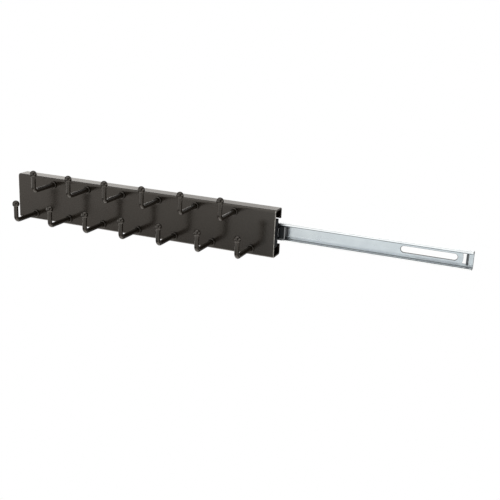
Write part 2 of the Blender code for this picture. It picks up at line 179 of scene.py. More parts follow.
def range_of(tree, factor, low, high, start=0.3, end=0.7):
    """Number that runs from low to high as the factor runs from start to end."""
    spread = node_of(tree, "ShaderNodeMapRange")
    limits = {"From Min": start, "From Max": end, "To Min": low, "To Max": high}
    for key, value in limits.items():
        spread.inputs[key].default_value = value
    tree.links.new(factor, spread.inputs["Value"])
    return spread.outputs["Result"]


def bump_of(tree, height, strength, depth, under=None):
    """Normal from a height field; under is another bump below it."""
    bump = node_of(tree, "ShaderNodeBump")
    bump.inputs["Strength"].default_value = strength
    bump.inputs["Distance"].default_value = depth
    tree.links.new(height, bump.inputs["Height"])
    if under is not None:
        tree.links.new(under, bump.inputs["Normal"])
    return bump.outputs["Normal"]


def new_finish(name, metallic=0.0):
    """Material with a Principled shader, returned with its tree and shader."""
    finish = bpy.data.materials.new(name)
    finish.use_nodes = True
    shader = finish.node_tree.nodes["Principled BSDF"]
    shader.inputs["Metallic"].default_value = metallic
    return finish, finish.node_tree, shader


print("shader helpers: noise, axes, sums, ramps and bumps in object space")


# %% [markdown]
# ## Satin bronze paint
# The panel, the hooks, their balls and their collars are one colour: a very dark brown powder coat
# with a satin gloss. It is so dark that almost all of what one sees is its gloss. Powder coat melts
# into a skin with a faint orange peel, about half a millimetre across, so a fine noise drives the
# bump, and a broader one lets colour and gloss drift a little. A plain colour would look like
# plastic. Where the panel was sawn off, the front edge of the plate is rubbed through to the steel.
# The Bevel modifier can give the edges that it rounds a finish of their own, so no face has to be
# picked by hand.

# %% Paint
PAINT_DARK, PAINT_LIGHT = (0.0064, 0.0045, 0.0028), (0.0084, 0.0061, 0.0040)
PAINT_GLOSS, PAINT_TINT = 0.76, (1.0, 0.95, 0.895, 1.0)
THIN_PAINT, BARE_STEEL = (0.0145, 0.0105, 0.0066), (0.62, 0.60, 0.56)
BARE_DEPTH, PAINTED_DEPTH = -22.2 * MM, -21.2 * MM


def satin_bronze():
    """Dark brown powder coat: drifting colour and gloss, and an orange peel bump."""
    finish, tree, shader = new_finish("satin_bronze_paint")
    drift = noise_of(tree, scale=55.0, detail=3.0)
    peel = noise_of(tree, scale=1500.0, detail=1.0)
    grain = noise_of(tree, scale=5200.0, detail=1.0)
    tree.links.new(ramp_of(tree, drift, PAINT_DARK, PAINT_LIGHT), shader.inputs["Base Color"])
    tree.links.new(range_of(tree, drift, 0.18, 0.23), shader.inputs["Roughness"])
    shader.inputs["Specular IOR Level"].default_value = PAINT_GLOSS
    shader.inputs["Specular Tint"].default_value = PAINT_TINT
    coarse = bump_of(tree, peel, strength=0.08, depth=0.1 * MM)
    fine = bump_of(tree, grain, strength=0.04, depth=0.03 * MM, under=coarse)
    tree.links.new(fine, shader.inputs["Normal"])
    return finish


def worn_edge():
    """Sawn edge of the panel: bare steel in patches, the product of a noise and a ramp in depth
    that is one at the plate's front and nought further back, where the paint is only thin."""
    finish, tree, shader = new_finish("worn_panel_edge")
    depth = axes_of(tree)[1]
    front = range_of(tree, depth, 1.0, 0.0, BARE_DEPTH, PAINTED_DEPTH)
    patches = range_of(tree, noise_of(tree, scale=260.0, detail=3.0), 0.35, 1.0, 0.40, 0.62)
    bare = math_of(tree, "MULTIPLY", front, patches)
    colour = ramp_of(tree, bare, THIN_PAINT, BARE_STEEL, 0.0, 1.0)
    tree.links.new(colour, shader.inputs["Base Color"])
    tree.links.new(bare, shader.inputs["Metallic"])
    tree.links.new(range_of(tree, patches, 0.28, 0.38, 0.0, 1.0), shader.inputs["Roughness"])
    return finish


BRONZE, WORN = satin_bronze(), worn_edge()
print("finishes:", BRONZE.name, WORN.name)


# %% [markdown]
# ## Bright zinc
# The rails are cold-rolled strip with a bright zinc plating. Rolling leaves fine lines along the
# strip, so the noise is stretched nearly a hundredfold along X, and the plating has a faint blue
# cast that clouds a little. Shade is painted into the colour as a dark grey in four places: a
# painted dark line at the slit edges of the wall rail's lips, painted shade in the channel's lower
# inner corner, a painted shadow on the web at the rear stop, and painted shade at the rail's sawn
# rear end. A mask for each of these places is the product of soft bands along the axes. Painting
# the masks by hand would do as well, but it would need an unwrapped piece and an image file.

# %% Zinc
ZINC_DARK, ZINC_LIGHT = (0.765, 0.805, 0.84), (0.825, 0.865, 0.895)
# Painted shade: a dark grey, and below it the bands along the axes where it is painted
PAINTED_SHADE = (0.058, 0.064, 0.071)
FINE_FADE, BROAD_FADE = 0.1 * MM, 0.2 * MM
LIP_HEIGHT, LIP_DEPTH = (7.6 * MM, 8.6 * MM), (-9.9 * MM, -8.6 * MM)
CORNER_HEIGHT, CORNER_DEPTH = (-9.2 * MM, -8.4 * MM), (-4.2 * MM, -1.0 * MM)
STOP_ALONG, STOP_DEPTH = (144.9 * MM, 147.1 * MM), (-8.0 * MM, -1.0 * MM)
STOP_FADE = (7.4 * MM, 7.8 * MM)
CUT_ALONG = (152.0 * MM, 152.2 * MM)


def band_of(tree, value, limits, fade, peak=1.0):
    """Peak between the two limits and nought outside them, softly: the product of two ramps."""
    low, high = limits
    up = range_of(tree, value, 0.0, peak, low - fade, low + fade)
    down = range_of(tree, value, 1.0, 0.0, high - fade, high + fade)
    return math_of(tree, "MULTIPLY", up, down)


def painted_over(tree, colour, over_colour, mask):
    """Colour that gives way to a plain one as the mask goes from nought to one: to painted shade on
    the zinc, and to a painted grey highlight on the bumper.
    """
    mix = node_of(tree, "ShaderNodeMix", data_type="RGBA")
    mix.inputs["B"].default_value = (*over_colour, 1.0)
    tree.links.new(mask, mix.inputs["Factor"])
    tree.links.new(colour, mix.inputs["A"])
    return mix.outputs["Result"]


def bright_zinc():
    """Plated strip: rolling lines along X in gloss and bump, and a faint blue cloud in colour.
    Shade is painted into it as a dark grey at the slit edges of the wall rail's lips, in the rail's
    lower inner corner, on the rear stop and at the rail's sawn rear end."""
    finish, tree, shader = new_finish("bright_zinc_plate", metallic=1.0)
    lines = noise_of(tree, scale=900.0, detail=3.0, stretch=(0.012, 1.0, 1.0))
    cloud = noise_of(tree, scale=70.0, detail=3.0)
    x, y, z = axes_of(tree)
    height = math_of(tree, "ABSOLUTE", z)
    # Painted shade: the lips' edges, the lower inner corner, the web at the rear stop and the rear
    # end
    slit = math_of(tree, "MULTIPLY", band_of(tree, height, LIP_HEIGHT, BROAD_FADE),
                   band_of(tree, y, LIP_DEPTH, FINE_FADE))
    corner = math_of(tree, "MULTIPLY", band_of(tree, z, CORNER_HEIGHT, BROAD_FADE),
                     band_of(tree, y, CORNER_DEPTH, FINE_FADE, peak=0.72))
    stop = math_of(tree, "MULTIPLY", band_of(tree, x, STOP_ALONG, FINE_FADE),
                   band_of(tree, y, STOP_DEPTH, FINE_FADE))
    stop = math_of(tree, "MULTIPLY", stop, range_of(tree, height, 0.85, 0.0, *STOP_FADE))
    cut = range_of(tree, x, 0.0, 0.8, *CUT_ALONG)
    painted_shade = math_of(tree, "MAXIMUM", math_of(tree, "MAXIMUM", slit, corner),
                   math_of(tree, "MAXIMUM", stop, cut))
    plate = ramp_of(tree, cloud, ZINC_DARK, ZINC_LIGHT)
    tree.links.new(painted_over(tree, plate, PAINTED_SHADE, painted_shade), shader.inputs["Base Color"])
    tree.links.new(range_of(tree, lines, 0.26, 0.34), shader.inputs["Roughness"])
    bump = bump_of(tree, lines, strength=0.06, depth=0.05 * MM)
    tree.links.new(bump, shader.inputs["Normal"])
    return finish


ZINC = bright_zinc()
print("finish:", ZINC.name)


# %% [markdown]
# ## Bare steel and black plastic
# A punch tears the sheet as it goes through, so the wall of a hole is grey bare steel, scored
# across the sheet. The balls are polished bearing steel. The spacer, the bumper and the ball
# retainer are black moulded plastic with a fine spark-eroded grain. The three are black in
# different ways: the spacer is matt, the retainer satin, and the bumper's right and lower front
# edges carry a painted grey highlight. Three materials could be copied and changed by hand, but one
# function makes all three, and its arguments say how they differ.

# %% Steel and plastic
SHEARED_DARK, SHEARED_LIGHT = (0.16, 0.165, 0.17), (0.30, 0.305, 0.31)
BALL_DARK, BALL_LIGHT = (0.55, 0.55, 0.56), (0.66, 0.66, 0.67)
BLACK_DARK, BLACK_LIGHT = (0.0045, 0.0056, 0.0064), (0.0075, 0.0088, 0.0098)
# Painted highlight: a grey painted on the bumper's right and lower front edges, past these limits
PAINTED_HIGHLIGHT_GREY = (0.20, 0.205, 0.21)
BUMPER_HIGHLIGHT_EDGES = (-62.2 * MM, -9.3 * MM, -6.8 * MM)


def bare_steel(name, scale, detail, stretch, colours, roughness):
    """Unplated steel: one noise for both the colour and the gloss."""
    finish, tree, shader = new_finish(name, metallic=1.0)
    marks = noise_of(tree, scale, detail, stretch)
    tree.links.new(ramp_of(tree, marks, *colours), shader.inputs["Base Color"])
    tree.links.new(range_of(tree, marks, *roughness), shader.inputs["Roughness"])
    return finish


def black_plastic(name, gloss, roughness, highlight_edges=None):
    """Moulded black plastic: nearly black, with a fine grain. Gloss is its specular level. The last
    argument is an x, a y and a z: in front of that y, what lies past that x or below that z gets a
    painted grey highlight."""
    finish, tree, shader = new_finish(name)
    grain = noise_of(tree, scale=3500.0, detail=1.0)
    drift = noise_of(tree, scale=120.0, detail=2.0)
    colour = ramp_of(tree, drift, BLACK_DARK, BLACK_LIGHT)
    # Painted highlight: grey on the front faces past the x and below the z
    if highlight_edges:
        limits = [(value - BROAD_FADE, value + BROAD_FADE) for value in highlight_edges]
        x, y, z = axes_of(tree)
        side = range_of(tree, x, 0.0, 1.0, *limits[0])
        near = range_of(tree, y, 1.0, 0.0, *limits[1])
        foot = range_of(tree, z, 0.6, 0.0, *limits[2])
        mask = math_of(tree, "MULTIPLY", math_of(tree, "MAXIMUM", side, foot), near)
        colour = painted_over(tree, colour, PAINTED_HIGHLIGHT_GREY, mask)
    tree.links.new(colour, shader.inputs["Base Color"])
    shader.inputs["Specular IOR Level"].default_value = gloss
    spread = range_of(tree, drift, roughness - 0.05, roughness + 0.05)
    tree.links.new(spread, shader.inputs["Roughness"])
    bump = bump_of(tree, grain, strength=0.12, depth=0.04 * MM)
    tree.links.new(bump, shader.inputs["Normal"])
    return finish


SHEARED = bare_steel("sheared_steel", 2500.0, 2.0, (1.0, 0.05, 1.0),
                     (SHEARED_DARK, SHEARED_LIGHT), (0.35, 0.50))
STEEL = bare_steel("polished_ball_steel", 900.0, 3.0, (1.0, 1.0, 1.0),
                   (BALL_DARK, BALL_LIGHT), (0.06, 0.16))
MATT_BLACK = black_plastic("matt_black_plastic", 0.2, 0.62)
SATIN_BLACK = black_plastic("satin_black_plastic", 0.4, 0.34)
# The bumper's black, with a painted grey highlight along its right and lower front edges
BLACK_PAINTED_HIGHLIGHT = black_plastic("black_plastic_painted_highlight", 0.25, 0.42, BUMPER_HIGHLIGHT_EDGES)
for finish in (SHEARED, STEEL, MATT_BLACK, SATIN_BLACK, BLACK_PAINTED_HIGHLIGHT):
    print("finish:", finish.name)


# %% [markdown]
# ## Bent sheet
# The panel, both rails and the ball retainer are all sheet, folded along straight lines. A fold
# isn't sharp: the sheet's middle follows an arc. So the section is a middle line with round
# corners, and its two skins lie half a wall to each side of it, along its normal. Carrying that
# section along the rail gives the whole piece. A bare surface with a Solidify modifier would give
# the wall too, but here the section's own normals keep it even in the bends.

# %% Bent sheet helpers
def round_path(corners, bend, steps=8):
    """Middle line and normals of a folded section: at each corner an arc of radius bend, with its
    centre one radius from both legs, takes the place of the corner. Returns points (n, 2) and unit
    normals (n, 2)."""
    corners = np.asarray(corners, float)
    legs = np.diff(corners, axis=0)
    legs /= np.linalg.norm(legs, axis=1)[:, None]
    sides = np.stack([-legs[:, 1], legs[:, 0]], axis=1)
    points, normals = [corners[:1]], [sides[:1]]
    sweep = np.linspace(0.0, np.pi / 2, steps + 1)
    for corner, into, out, side in zip(corners[1:-1], legs[:-1], legs[1:], sides[:-1]):
        turn = np.sign(into[0] * out[1] - into[1] * out[0])
        spoke = -side * turn
        arms = np.cos(sweep)[:, None] * spoke + np.sin(sweep)[:, None] * into
        points.append(corner - into * bend + side * turn * bend + bend * arms)
        normals.append(-turn * arms)
    points.append(corners[-1:])
    normals.append(sides[-1:])
    return np.concatenate(points), np.concatenate(normals)


def sheet_mesh(name, corners, wall, bend, low, high, upright=False):
    """Folded sheet: both skins of the section, carried from low to high. The section lies in (y, z)
    and is carried along x, or with upright it lies in (x, y) and is carried along z."""
    middle, normals = round_path(corners, bend)
    outline = np.concatenate([middle + normals * wall / 2, (middle - normals * wall / 2)[::-1]])
    count = len(outline)
    ends = np.array([low, high])[:, None, None] * np.ones((1, count, 1))
    flat = np.broadcast_to(outline, (2, count, 2))
    points = np.concatenate([flat, ends] if upright else [ends, flat], axis=2).reshape(-1, 3)
    i = np.arange(count // 2 - 1)
    cap = np.stack([i, i + 1, count - 2 - i, count - 1 - i], axis=1)
    faces = np.concatenate([grid_quads(2, count, around=True), cap, cap + count])
    return mesh_from(name, points, faces.tolist())


print("a section with one fold has", len(round_path([(0, 0), (2, 0), (2, 2)], 1)[0]), "points")


# %% [markdown]
# ## The panel
# The panel is a lipped channel of 2 mm sheet. Its front plate carries the hooks, and its rear edges
# are turned in so that it hides the slide from above and below. Its ends are simply sawn off. The
# six corners of its section are written down once, and the sheet function folds them.

# %% Panel
low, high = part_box("rack_panel")
PANEL_WALL, PANEL_BEND, PANEL_DEPTH, PANEL_LIP = 2.0 * MM, 1.8 * MM, 20.5 * MM, 13.0 * MM
PANEL_FRONT, PANEL_TOP = low.y, high.z
front, rear = PANEL_FRONT + PANEL_WALL / 2, PANEL_FRONT + PANEL_DEPTH - PANEL_WALL / 2
top, lip = PANEL_TOP - PANEL_WALL / 2, PANEL_TOP - PANEL_LIP
section = [(rear, lip), (rear, top), (front, top), (front, -top), (rear, -top), (rear, -lip)]
add_piece(sheet_mesh("panel_sheet", section, PANEL_WALL, PANEL_BEND, low.x, high.x),
          BRONZE, "rack", ["rack_panel"], edge=0.5 * MM, segments=3, worn=WORN)
print(f"panel: {(high.x - low.x) / MM:.0f} mm long, {(high.z - low.z) / MM:.0f} mm high")


# %% [markdown]
# ## Turned shapes
# A ball, a collar and a ball's notch are all turned: a profile of radius and height is carried once
# round an axis. Blender's Screw modifier does the same, but as an array it is one line, and the
# points on the axis are merged into a closed pole.

# %% Turned shapes
SIDES = 36


def turned_mesh(name, profile, centre, frontwards=False, sides=SIDES):
    """Profile of (radius, height) rows carried round an upright axis, or round one that points to
    the front. A profile that starts off the axis is a ring, so its last row joins its first."""
    angle = np.linspace(0.0, 2 * np.pi, sides, endpoint=False)
    radius, height = np.asarray(profile, float).T[:, :, None]
    a, b = radius * np.cos(angle), radius * np.sin(angle)
    c = height + 0 * angle
    shape = np.stack([a, -c, b] if frontwards else [a, b, c], axis=-1)
    closed = bool(profile[0][0])
    rows = np.concatenate([shape, shape[:1]]) if closed else shape
    points = rows.reshape(-1, 3) + np.asarray(centre)
    return mesh_from(name, points, grid_quads(len(rows), sides, around=True).tolist())


def arc(centre, radius, start, end, steps):
    """Points of an arc in (radius, height), angles in degrees from the outward direction."""
    sweep = np.radians(np.linspace(start, end, steps))
    return np.asarray(centre) + radius * np.stack([np.cos(sweep), np.sin(sweep)], axis=1)


print("a turned shape has", SIDES, "sides")


# %% [markdown]
# ## The hooks' bars
# A hook is one round bar. Behind the panel its end is peened over like a rivet, in front its
# shoulder stands on the panel inside a collar, and its arm turns up at a short bend into an
# upright. A curve with a round bevel would give an even bar, but not the peened head and the
# thinner shank. So the bar's line is arm, quarter circle and upright, and the radius is a function
# of the way along it: head, shank, then the full bar.

# %% Hook bars
ROD, SHANK, HEAD = 2.8 * MM, 2.0 * MM, 2.9 * MM
REACH, RISE, BEND = 41.0 * MM, 21.0 * MM, 5.5 * MM
BALL, IN_BALL = 4.38 * MM, 1.5 * MM
SEAT, SHOULDER = 0.3 * MM, 0.35 * MM
HEAD_HEIGHTS = np.array([1.4, 1.25, 0.9, 0.45, 0.0, 0.0]) * MM
HEAD_RADII = np.append(np.array([0.0, 0.55, 0.86, 1.0, 1.0]) * HEAD, SHANK)


def hook_mesh(name, x, height):
    """Circle carried along the bar's line in (y, z). Its radius is a table along the straight end,
    and then the bar's own; the ring at each point lies in the plane of X and the line's normal."""
    head_y = PANEL_WALL + SEAT + HEAD_HEIGHTS
    neck_y = np.array([-SEAT, -SEAT, -SEAT - SHOULDER])
    neck_r = np.array([SHANK, ROD - SHOULDER, ROD])
    sweep = np.linspace(0.0, np.pi / 2, 17)
    bend_y = BEND - REACH - BEND * np.sin(sweep)
    bend_z = BEND - BEND * np.cos(sweep)
    stem_z = np.array([RISE / 2, RISE + IN_BALL, RISE + IN_BALL])
    straight = np.zeros(len(head_y) + len(neck_y))
    y = np.concatenate([head_y, neck_y, bend_y, np.full(3, -REACH)])
    z = np.concatenate([straight, bend_z, stem_z])
    radius = np.concatenate([HEAD_RADII, neck_r, np.full(len(sweep) + 2, ROD), [0.0]])
    lean = np.concatenate([straight, sweep, np.full(3, np.pi / 2)])
    angle = np.linspace(0.0, 2 * np.pi, SIDES, endpoint=False)
    across, square = radius[:, None] * np.cos(angle), radius[:, None] * np.sin(angle)
    points = np.stack([x + across, PANEL_FRONT + y[:, None] + square * np.sin(lean)[:, None],
                       height + z[:, None] + square * np.cos(lean)[:, None]], axis=-1)
    faces = grid_quads(len(y), SIDES, around=True).tolist()
    return mesh_from(name, points.reshape(-1, 3), faces)


print(f"bar: {2 * ROD / MM:.1f} mm thick, {REACH / MM:.0f} mm out, {RISE / MM:.0f} mm up")


# %% [markdown]
# ## Balls, collars and the two rows
# Each upright ends in a small ball with a socket for the bar, so that a tie slides over it without
# catching. Each arm's root is dressed by a collar. Both are turned, so each is only a profile. The
# solids' own collars say where the hooks stand, so the rows follow the frame.

# %% Hooks
COLLAR_OUTER, COLLAR_THICK = 4.7 * MM, 2.2 * MM
COLLAR_ROUND, COLLAR_BREAK = 0.7 * MM, 0.2 * MM
MOUTH_BREAK = 0.25 * MM


def ball_profile():
    """Ball with a socket for the bar: a circle from the top down to the socket's mouth, a small
    broken edge, and the socket's wall back up to its floor."""
    bore = ROD + SEAT
    mouth = np.degrees(np.arcsin(bore / BALL))
    outside = arc((0.0, 0.0), BALL, 90.0, mouth - 88.0, 22)
    lip = (bore, -np.sqrt(BALL ** 2 - bore ** 2) + MOUTH_BREAK)
    return np.concatenate([outside, [lip, (bore, IN_BALL + SEAT), (0.0, IN_BALL + SEAT)]])


def collar_profile():
    """Ring round the bar's root: flat back, round outer edge at the front, and a clearance bore."""
    bore = ROD + SEAT
    rim_centre = (COLLAR_OUTER - COLLAR_ROUND, COLLAR_THICK - COLLAR_ROUND)
    rim = arc(rim_centre, COLLAR_ROUND, 90.0, 0.0, 7)
    inside = [(bore, COLLAR_THICK - COLLAR_BREAK), (bore + COLLAR_BREAK, COLLAR_THICK)]
    back = [(COLLAR_OUTER, COLLAR_BREAK), (COLLAR_OUTER - COLLAR_BREAK, 0.0), (bore, 0.0)]
    return np.concatenate([inside, rim, back])


for row, count in (("lower", 7), ("upper", 6)):
    for number in range(1, count + 1):
        tag = f"{row}_{number}"
        low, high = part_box(f"hook_collar_{tag}")
        x, height = (low.x + high.x) / 2, (low.z + high.z) / 2
        bar = hook_mesh(f"bar_{tag}", x, height)
        add_piece(bar, BRONZE, "rack", [f"hook_{tag}"])
        ball_at = (x, PANEL_FRONT - REACH, height + RISE)
        ball = turned_mesh(f"ball_end_{tag}", ball_profile(), ball_at)
        add_piece(ball, BRONZE, "rack", [f"hook_tip_{tag}"])
        collar_at = (x, PANEL_FRONT - SEAT, height)
        collar = turned_mesh(f"collar_{tag}", collar_profile(), collar_at, frontwards=True)
        add_piece(collar, BRONZE, "rack", [f"hook_collar_{tag}"])
    print(f"{row} row: {count} hooks at height {height / MM:.1f} mm")


# %% [markdown]
# ## Cutting and joining
# The wall rail has punched holes, and the retainer notches. A hole could be built into the grid of
# the sheet, but a slot with round ends doesn't follow the grid's lines. So the hole's outline is
# made a prism, and a Boolean modifier with the exact solver takes it away. The result is kept as a
# new mesh, and the tools are deleted.

# %% Cutting helpers
def prism_mesh(name, near, far, low, high):
    """Prism in y: an (x, z) outline at the depth low is joined to another, of as many points, at
    the depth high."""
    count = len(near)
    rings = [np.stack([x, np.full(count, y), z], axis=1)
             for (x, z), y in ((near.T, low), (far.T, high))]
    faces = grid_quads(2, count, around=True).tolist()
    faces += [list(range(count)), list(range(count, 2 * count))]
    return mesh_from(name, np.concatenate(rings), faces)


def shaped(mesh, operation, *tools):
    """Mesh cut by, or joined with, the tool meshes, which are then gone."""
    name = mesh.name
    holders = []
    for part in (mesh, *tools):
        holder = bpy.data.objects.new(part.name, part)
        bpy.context.scene.collection.objects.link(holder)
        holders.append(holder)
    for tool in holders[1:]:
        step = holders[0].modifiers.new(tool.name, "BOOLEAN")
        step.operation = operation
        step.solver = "EXACT"
        step.object = tool
    depsgraph = bpy.context.evaluated_depsgraph_get()
    result = bpy.data.meshes.new_from_object(holders[0].evaluated_get(depsgraph))
    for holder in holders:
        spent = holder.data
        bpy.data.objects.remove(holder)
        bpy.data.meshes.remove(spent)
    result.name = name
    return result


print("cutting: exact Boolean, with the tools deleted")


# %% [markdown]
# ## The wall rail
# The outer member of the slide is a small lipped channel. Its web has a long slot at each end for
# the fixing screws, flared towards the front so that a screw's head can sink in. Near each end a
# tab is cut free on three sides and bent out as a stop, which leaves a window beside it. The slots
# and the windows are outlines pushed through the web. The tools carry the sheared finish, so the
# walls of the holes get it from the cut. The tabs are folded sheet like the rest.

# %% Wall rail
RAIL_WALL, RAIL_BEND, RAIL_LIP = 1.2 * MM, 1.4 * MM, 2.2 * MM
low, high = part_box("wall_rail")
RAIL_END, RAIL_MOUTH, RAIL_TOP = high.x, low.y, high.z
web, mouth = -RAIL_WALL / 2, RAIL_MOUTH + RAIL_WALL / 2
flange, lip = RAIL_TOP - RAIL_WALL / 2, RAIL_TOP - RAIL_LIP
section = [(mouth, lip), (mouth, flange), (web, flange),
           (web, -flange), (mouth, -flange), (mouth, -lip)]
SLOT_AT, SLOT_LONG, SLOT_WIDE, SLOT_FLARE = 103.75 * MM, 62.5 * MM, 7.0 * MM, 0.5
CUT_NEAR, CUT_FAR = -4.0 * MM, 2.0 * MM
TAB_FACE, TAB_ROOT, TAB_BEND = 145.0 * MM, 147.2 * MM, 1.0 * MM
WINDOW_FAR, WINDOW_BULGE = 140.4 * MM, 0.8 * MM
# Name, side, width of the window, width of the tab, and how far the tab stands out
STOPS = [("rear", 1, 11.9 * MM, 11.7 * MM, 5.7 * MM), ("front", -1, 6.2 * MM, 6.0 * MM, 3.0 * MM)]


def slot_outline(middle, length, width, steps=16):
    """Long slot with round ends: two half circles joined by straight sides."""
    sweep = np.linspace(-np.pi / 2, np.pi / 2, steps)
    x = length / 2 - width / 2 + width / 2 * np.cos(sweep)
    right = np.stack([x, width / 2 * np.sin(sweep)], axis=1)
    return np.concatenate([right, -right]) + np.array([middle, 0.0])


def window_outline(side, width, steps=15):
    """Window beside a tab: straight at the tab's root, bulged in by a parabola on the far side."""
    z = np.linspace(width / 2, -width / 2, steps)
    far = WINDOW_FAR + WINDOW_BULGE * (1 - (2 * z / width) ** 2)
    x = np.concatenate([[TAB_ROOT, TAB_ROOT], far])
    return np.stack([side * x, np.concatenate([[-width / 2, width / 2], z])], axis=1)


def tab_mesh(name, side, width, out):
    """Stop tab: a folded sheet that starts in the web at the window's root and turns out square
    to it."""
    middle = TAB_FACE + RAIL_WALL / 2
    path = [(side * TAB_ROOT, web), (side * middle, web), (side * middle, -out)]
    return sheet_mesh(name, path, RAIL_WALL, TAB_BEND, -width / 2, width / 2, upright=True)


channel = sheet_mesh("rail_channel", section, RAIL_WALL, RAIL_BEND, -RAIL_END, RAIL_END)
tools = []
for name, side, opening, width, out in STOPS:
    ends = [slot_outline(side * SLOT_AT, SLOT_LONG + grown, SLOT_WIDE + grown)
            for grown in (-2 * SLOT_FLARE * CUT_NEAR, -2 * SLOT_FLARE * CUT_FAR)]
    window = window_outline(side, opening)
    tools.append(prism_mesh(name + "_slot", *ends, CUT_NEAR, CUT_FAR))
    tools.append(prism_mesh(name + "_window", window, window, CUT_NEAR, CUT_FAR))
for mesh in [channel] + tools:
    mesh.materials.append(ZINC)
    mesh.materials.append(SHEARED)
for tool in tools:
    tool.polygons.foreach_set("material_index", np.ones(len(tool.polygons), int))
channel = shaped(channel, "DIFFERENCE", *tools)
add_piece(channel, ZINC, "wall", ["wall_rail"], edge=0.25 * MM, worn=SHEARED)
for name, side, opening, width, out in STOPS:
    tab = tab_mesh(name + "_stop", side, width, out)
    add_piece(tab, ZINC, "wall", edge=0.15 * MM)
print(f"wall rail: {2 * RAIL_END / MM:.0f} mm long, {len(channel.polygons)} faces")


# %% [markdown]
# ## The rack rail and what holds it
# The inner member is a hat section: a web against the spacer, two legs, and two lips for the balls
# to run on. Three studs are welded to the panel's back, and their nuts hold the rack rail and the
# spacer, so the panel's front shows no fastener. A nut is a hexagon turned down at its corners, so
# its radius is the smaller of a hexagon and a cone. A thread is a ridge that climbs one pitch in
# each turn. A bump could fake the thread, but not at the stud's outline.

# %% Rack rail, studs and nuts
low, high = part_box("rack_rail")
RACK_LEG = 5.4 * MM
web, lip_depth = low.y + RAIL_WALL / 2, high.y - RAIL_WALL / 2
lip_edge, leg = high.z, RACK_LEG - RAIL_WALL / 2
section = [(lip_depth, lip_edge), (lip_depth, leg), (web, leg),
           (web, -leg), (lip_depth, -leg), (lip_depth, -lip_edge)]
hat = sheet_mesh("hat_rail", section, RAIL_WALL, RAIL_BEND, low.x, high.x)
add_piece(hat, ZINC, "rack", ["rack_rail"], edge=0.15 * MM)
STUD, STUD_TIP, STUD_REAR, STUD_SIDES, STUD_ROWS = 2.0 * MM, 1.5 * MM, -5.8 * MM, 32, 121
PITCH, THREAD_DEPTH = 0.7 * MM, 0.38 * MM
NUT_BORE, NUT_SINK, NUT_SIDES = STUD + 0.05 * MM, STUD + 0.25 * MM, 72
NUT_LEVELS = np.array([0.0, 0.12, 0.25, 0.45, 0.55, 0.75, 0.88, 1.0])
BORE_LEVELS = np.array([1.0, 0.93, 0.07, 0.0])


def nut_mesh(name, centre, thick, flats):
    """Hexagon nut: the radius is the least of the hexagon's own and a 30 degree cone at each face,
    which turns the corners down; the bore is a plain hole with a small countersink."""
    angle = np.linspace(0.0, 2 * np.pi, NUT_SIDES, endpoint=False)
    hexagon = flats / np.cos((angle + np.pi / 6) % (np.pi / 3) - np.pi / 6)
    height = NUT_LEVELS * thick
    cone = 0.97 * flats + np.minimum(height, thick - height)[:, None] / np.tan(np.pi / 6)
    side = np.minimum(hexagon, cone)
    bore = np.array([NUT_SINK, NUT_BORE, NUT_BORE, NUT_SINK])[:, None]
    radius = np.concatenate([side, bore + 0 * angle, side[:1]])
    level = np.concatenate([height, BORE_LEVELS * thick, height[:1]])
    points = np.stack([centre[0] + radius * np.cos(angle), centre[1] + level[:, None] + 0 * angle,
                       centre[2] + radius * np.sin(angle)], axis=-1)
    faces = grid_quads(len(radius), NUT_SIDES, around=True).tolist()
    return mesh_from(name, points.reshape(-1, 3), faces)


def stud_mesh(name, x, front, rear):
    """Threaded stud along y: the radius drops and rises along each pitch as a triangle wave of y
    less the angle's share of a pitch. A cone points the rear end, and both ends close on the axis.
    """
    angle = np.linspace(0.0, 2 * np.pi, STUD_SIDES, endpoint=False)
    y = np.linspace(front, rear, STUD_ROWS)[:, None]
    wave = np.abs(((y / PITCH - angle / (2 * np.pi)) % 1.0) - 0.5) * 2
    radius = np.minimum(STUD - THREAD_DEPTH * wave, STUD_TIP + (rear - y))
    radius = np.concatenate([0 * radius[:1], radius, 0 * radius[:1]])
    depth = np.concatenate([y[:1], y, y[-1:]])
    points = np.stack([x + radius * np.cos(angle), depth + 0 * radius, radius * np.sin(angle)],
                      axis=-1)
    faces = grid_quads(len(radius), STUD_SIDES, around=True).tolist()
    return mesh_from(name, points.reshape(-1, 3), faces)


for number in (1, 2, 3):
    low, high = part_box(f"rail_nut_{number}")
    x = (low.x + high.x) / 2
    nut = nut_mesh(f"nut_{number}", (x, low.y, 0.0), high.y - low.y, high.z)
    add_piece(nut, ZINC, "rack", [f"rail_nut_{number}"])
    stud = stud_mesh(f"stud_{number}", x, PANEL_FRONT + PANEL_WALL, STUD_REAR)
    add_piece(stud, ZINC, "rack")
print(f"rack rail: {len(hat.polygons)} faces, held by 3 nuts of {len(nut.polygons)} faces")


# %% [markdown]
# ## Moulded blocks
# The spacer and the bumper are plain moulded blocks with round edges. A cube with a Bevel modifier
# would come close. Here a rounded block is a rounded rectangle carried along X, and near each end
# the rectangle shrinks along a quarter circle, so every edge has the same radius. The bumper is two
# such blocks, a head and a plug that sits in the rack rail's end, joined into one.

# %% Spacer and bumper
SPACER_ROUND, HEAD_ROUND, PLUG_ROUND = 0.6 * MM, 1.1 * MM, 0.5 * MM
BUMPER_HEAD, PLUG_OVERLAP = 7.7 * MM, 2.0 * MM
PLUG_NEAR, PLUG_FAR, PLUG_HALF = -10.0 * MM, -3.5 * MM, 3.9 * MM


